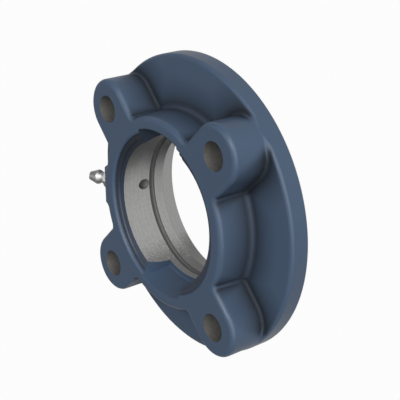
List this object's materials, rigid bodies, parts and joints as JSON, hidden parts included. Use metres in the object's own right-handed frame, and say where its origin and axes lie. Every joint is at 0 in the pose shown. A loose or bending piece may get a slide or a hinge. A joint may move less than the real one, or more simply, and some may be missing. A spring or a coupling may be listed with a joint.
{
  "type": "flanged bearing housing",
  "caption": "Round flanged, spigot-centred cast iron housing for a self-aligning insert bearing, with bolt lobes, filling slots and a grease nipple.",
  "frame": {"origin": "centre of the bore on the mounting face, where the spigot meets the flange", "axes": "+Z along the bore axis towards the lobed front face; -X towards the grease nipple; the filling slots lie on +Y and -Y"},
  "size_m": [0.125, 0.125, 0.0313],
  "materials": {
    "cast_paint": "satin blue-grey paint on cast iron, machined faces bare",
    "nipple_plating": "bright zinc plating",
    "ball_steel": "polished",
    "spring_steel": "drawn wire"
  },
  "bodies": {
    "housing": {"housing": "cast_paint", "nipple_body": "nipple_plating", "ball_spring": "spring_steel"},
    "check_ball": {"check_ball": "ball_steel"}
  },
  "joints": [
    {"name": "ball_travel", "type": "slide", "parent": "housing", "child": "check_ball", "axis": [0.8746, 0, -0.4848], "range_m": [0, 0.0008], "stiffness_N_per_m": 100, "springref_m": -0.002, "deforming": ["ball_spring"]}
  ]
}
